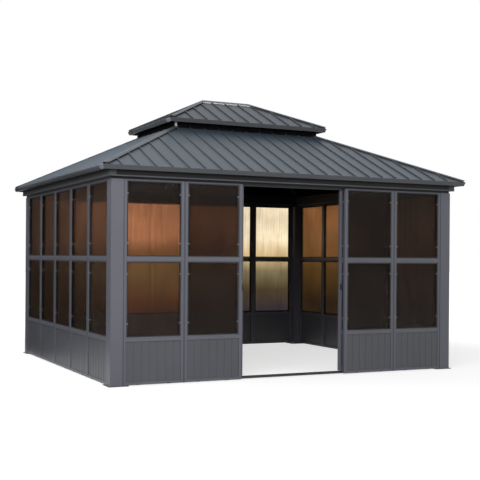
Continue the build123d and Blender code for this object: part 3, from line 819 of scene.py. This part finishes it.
def graded_screen(name, start, end, steps):
    """A glowing upright sheet between two points on the floor, graded from foot to top."""
    material = bpy.data.materials.new(name)
    material.use_nodes = True
    tree = material.node_tree
    tree.nodes.clear()
    output = tree.nodes.new("ShaderNodeOutputMaterial")
    emission = tree.nodes.new("ShaderNodeEmission")
    place = tree.nodes.new("ShaderNodeTexCoord")
    parts = tree.nodes.new("ShaderNodeSeparateXYZ")
    height = tree.nodes.new("ShaderNodeMapRange")
    height.inputs["From Max"].default_value = SCREEN_TOP
    ramp = tree.nodes.new("ShaderNodeValToRGB")
    while len(ramp.color_ramp.elements) < len(steps):
        ramp.color_ramp.elements.new(1)
    for element, (step_height, colour) in zip(ramp.color_ramp.elements, steps):
        element.position = step_height / SCREEN_TOP
        element.color = colour
    tree.links.new(place.outputs["Object"], parts.inputs["Vector"])
    tree.links.new(parts.outputs["Z"], height.inputs["Value"])
    tree.links.new(height.outputs["Result"], ramp.inputs["Fac"])
    tree.links.new(ramp.outputs["Color"], emission.inputs["Color"])
    tree.links.new(seen_directly(tree), emission.inputs["Strength"])
    tree.links.new(emission.outputs["Emission"], output.inputs["Surface"])
    outline = [(*start, SCREEN_FOOT), (*end, SCREEN_FOOT), (*end, SCREEN_TOP), (*start, SCREEN_TOP)]
    screen = stage_sheet(name, outline, material)
    screen.visible_camera = False
    screen.visible_diffuse = False
    screen.visible_glossy = False
    screen.visible_shadow = False
    return screen


for name, start, end, steps in (
    ("left_screen", LEFT_END, LEFT_TO_MIDDLE, LEFT_STEPS),
    ("middle_screen", LEFT_TO_MIDDLE, MIDDLE_TO_DOORWAY, MIDDLE_STEPS),
    ("doorway_screen", MIDDLE_TO_DOORWAY, DOORWAY_END, DOORWAY_STEPS),
):
    graded_screen(name, (start, BACK_LINE), (end, BACK_LINE), steps)
graded_screen("right_screen", (SIDE_LINE, NEAR_TO_RIGHT), (SIDE_LINE, RIGHT_END), RIGHT_STEPS)
graded_screen("near_screen", (SIDE_LINE, NEAR_END), (SIDE_LINE, NEAR_TO_RIGHT), NEAR_STEPS)

FLAG_BLACK = (0.01, 0.01, 0.01, 1)
flag_cloth = bpy.data.materials.new("flag_cloth")
flag_cloth.use_nodes = True
flag_cloth.node_tree.nodes["Principled BSDF"].inputs["Base Color"].default_value = FLAG_BLACK
FLAG_TOP = 3
FLAG_FOOT = 0.004
UPRIGHT_FLAG = ((-2.4, 7), (-12, 7))
FLOOR_FLAG = ((-2.1, 1.0), (-2.1, 7), (-12, 7), (-5, 1.0))
upright = [(*place, FLAG_FOOT) for place in UPRIGHT_FLAG]
upright += [(*place, FLAG_TOP) for place in reversed(UPRIGHT_FLAG)]
for outline in (upright, [(*place, FLAG_FOOT) for place in FLOOR_FLAG]):
    flag = stage_sheet("black_flag", outline, flag_cloth)
    flag.visible_camera = False
    flag.visible_diffuse = False
    flag.visible_transmission = False
    flag.visible_shadow = False


def soft_lamp(name, place, target, size, power):
    """A square lamp at one point that faces another."""
    lamp = bpy.data.lights.new(name, "AREA")
    lamp.size = size
    lamp.energy = power
    holder = bpy.data.objects.new(name, lamp)
    holder.location = place
    aim = Vector(target) - Vector(place)
    holder.rotation_mode = "QUATERNION"
    holder.rotation_quaternion = aim.to_track_quat("-Z", "Y")
    bpy.context.scene.collection.objects.link(holder)


soft_lamp("key_lamp", place=(-4.4, -6.2, 4.2), target=(0, 0, 1.8), size=4, power=265)
soft_lamp("side_lamp", place=(-5.5, 3.5, 8.5), target=(-2, 0, 2.4), size=4, power=200)
soft_lamp("fill_lamp", place=(5, -12, 6), target=(0, 0, 1.2), size=7, power=110)

CAMERA_PLACE = (-4.830, -10.077, 1.2432)
CAMERA_YAW = math.radians(25.089)
CAMERA_ROLL = math.radians(0.418)
CAMERA_SENSOR = 36
CAMERA_LENS = 69.37
CAMERA_REACH = 300
CAMERA_SHIFT = (0.04985, 0.0357)
forward = Vector((math.sin(CAMERA_YAW), math.cos(CAMERA_YAW), 0))
level = Vector((math.cos(CAMERA_YAW), -math.sin(CAMERA_YAW), 0))
up = Vector((0, 0, 1))
right_edge = level * math.cos(CAMERA_ROLL) + up * math.sin(CAMERA_ROLL)
top_edge = up * math.cos(CAMERA_ROLL) - level * math.sin(CAMERA_ROLL)
lens = bpy.data.cameras.new("camera")
lens.sensor_width = CAMERA_SENSOR
lens.lens = CAMERA_LENS
lens.shift_x, lens.shift_y = CAMERA_SHIFT
lens.clip_end = CAMERA_REACH
camera = bpy.data.objects.new("camera", lens)
bpy.context.scene.collection.objects.link(camera)
axes = Matrix((right_edge, top_edge, -forward)).transposed().to_4x4()
camera.matrix_world = Matrix.Translation(CAMERA_PLACE) @ axes
bpy.context.scene.camera = camera
bpy.context.scene.view_settings.view_transform = "Standard"
